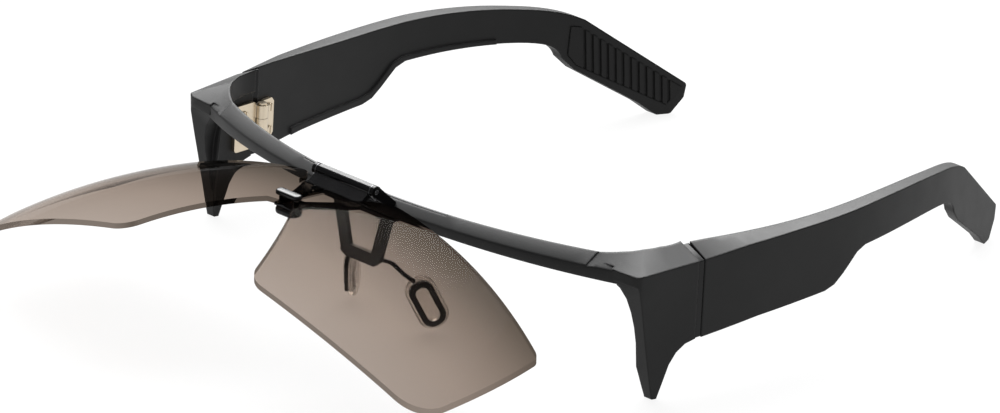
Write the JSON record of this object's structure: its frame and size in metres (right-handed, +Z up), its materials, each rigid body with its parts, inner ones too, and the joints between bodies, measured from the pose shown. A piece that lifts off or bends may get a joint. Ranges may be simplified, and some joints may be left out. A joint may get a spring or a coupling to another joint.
{
  "type": "flip-up lens eyewear",
  "caption": "Half-frame eyewear with swept end spikes, folding temples and a central hinge that flips a pair of joined tinted wrap lenses up off the brow.",
  "frame": {"origin": "on the resting surface, under the middle of the whole object's plan with the lenses flipped up and the temples open", "axes": "+X to the wearer's left, +Y from the front to the ear ends, +Z up"},
  "size_m": [0.149, 0.2062, 0.0376],
  "materials": {
    "frame_plastic": "satin moulded",
    "gloss_black": "polished black",
    "dark_metal": "black oxide",
    "bracket_metal": "satin dark grey",
    "gold_metal": "champagne gold plate",
    "clear_silicone": "clear silicone",
    "grip_rubber": "ribbed rubber",
    "tinted_lens": "brown gradient tint"
  },
  "bodies": {
    "frame": {"front_frame": "frame_plastic", "brow_strip": "gloss_black", "flip_base_plate": "gloss_black", "flip_base_screws": "dark_metal", "flip_hinge_pin": "dark_metal", "flip_friction_washers": "dark_metal", "nose_bridge_bracket": "bracket_metal", "nose_bracket_screws": "dark_metal", "pad_arm_left": "bracket_metal", "pad_holder_left": "bracket_metal", "nose_pad_left": "clear_silicone", "seam_trim_left": "gloss_black", "frame_hinge_leaf_left": "gold_metal", "frame_leaf_screws_left": "gold_metal", "temple_hinge_pin_left": "gold_metal", "pad_arm_right": "bracket_metal", "pad_holder_right": "bracket_metal", "nose_pad_right": "clear_silicone", "seam_trim_right": "gloss_black", "frame_hinge_leaf_right": "gold_metal", "frame_leaf_screws_right": "gold_metal", "temple_hinge_pin_right": "gold_metal"},
    "lens_carrier": {"flip_carrier": "gloss_black", "bridge_clip_upper": "gloss_black", "bridge_clip_lower": "gloss_black", "bridge_clip_screws": "dark_metal", "lens_left": "tinted_lens", "lens_right": "tinted_lens"},
    "temple_left": {"temple_left": "frame_plastic", "temple_hinge_leaf_left": "gold_metal", "temple_leaf_screws_left": "gold_metal", "ear_grip_left": "grip_rubber"},
    "temple_right": {"temple_right": "frame_plastic", "temple_hinge_leaf_right": "gold_metal", "temple_leaf_screws_right": "gold_metal", "ear_grip_right": "grip_rubber"}
  },
  "joints": [
    {"name": "lens_flip", "type": "hinge", "parent": "frame", "child": "lens_carrier", "pos_m": [0, -0.05509, 0.0361], "axis": [1, 0, 0], "range_deg": [0, 84]},
    {"name": "temple_left_fold", "type": "hinge", "parent": "frame", "child": "temple_left", "pos_m": [0.0653, -0.01673, 0.02], "axis": [0, 0, 1], "range_deg": [0, 90]},
    {"name": "temple_right_fold", "type": "hinge", "parent": "frame", "child": "temple_right", "pos_m": [-0.0653, -0.01673, 0.02], "axis": [0, 0, -1], "range_deg": [0, 74]}
  ]
}
